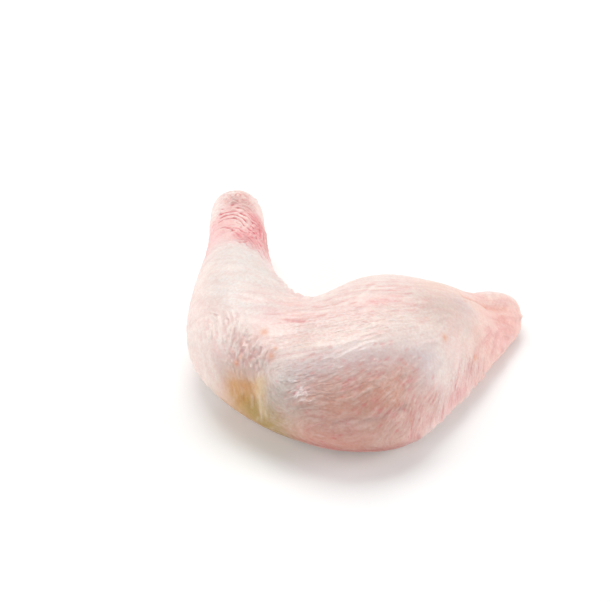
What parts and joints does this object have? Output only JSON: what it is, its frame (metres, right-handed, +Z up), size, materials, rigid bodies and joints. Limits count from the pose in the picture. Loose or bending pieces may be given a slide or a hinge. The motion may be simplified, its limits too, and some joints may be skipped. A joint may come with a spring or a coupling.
{
  "type": "raw chicken leg quarter",
  "caption": "Raw chicken leg quarter with its skin on, drumstick and thigh bent at the knee, lying skin side up, with the shin bone's knuckle showing at the hock.",
  "frame": {"origin": "on the surface that the leg lies on, below the middle of its bounding box", "axes": "+Z up out of that surface, +X along the thigh from the knee to the hip, +Y from the thigh to the hock"},
  "size_m": [0.1424, 0.1528, 0.0455],
  "materials": {
    "raw_skin": "moist, pale pink to cream skin with fine wrinkles and a soft gloss",
    "cartilage": "wet, smooth, bluish white cartilage"
  },
  "bodies": {
    "root": {"leg_quarter": "raw_skin", "shin_bone": "cartilage"}
  },
  "joints": []
}
